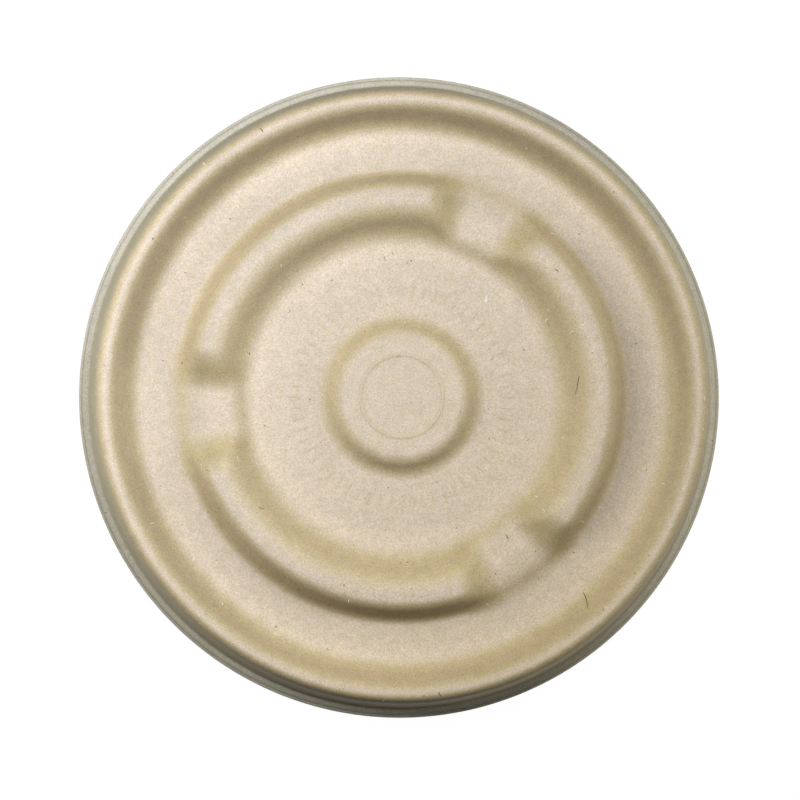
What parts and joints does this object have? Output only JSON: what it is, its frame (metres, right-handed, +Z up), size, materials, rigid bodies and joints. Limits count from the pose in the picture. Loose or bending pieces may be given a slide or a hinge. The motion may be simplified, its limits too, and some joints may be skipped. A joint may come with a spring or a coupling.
{
  "type": "moulded fibre container lid",
  "caption": "Round press-on lid of moulded plant fibre, with a deep outer rim, a flat stacking seat, a raised ring broken by notches and a low centre boss.",
  "frame": {"origin": "centre of the lip's flat underside, on the surface that the lid rests on", "axes": "+Z up through the centre boss, out of the top of the lid; +Y towards the top of the picture"},
  "size_m": [0.19, 0.1899, 0.0138],
  "materials": {
    "unbleached_pulp": "matte"
  },
  "bodies": {
    "root": {"lid": "unbleached_pulp"}
  },
  "joints": []
}
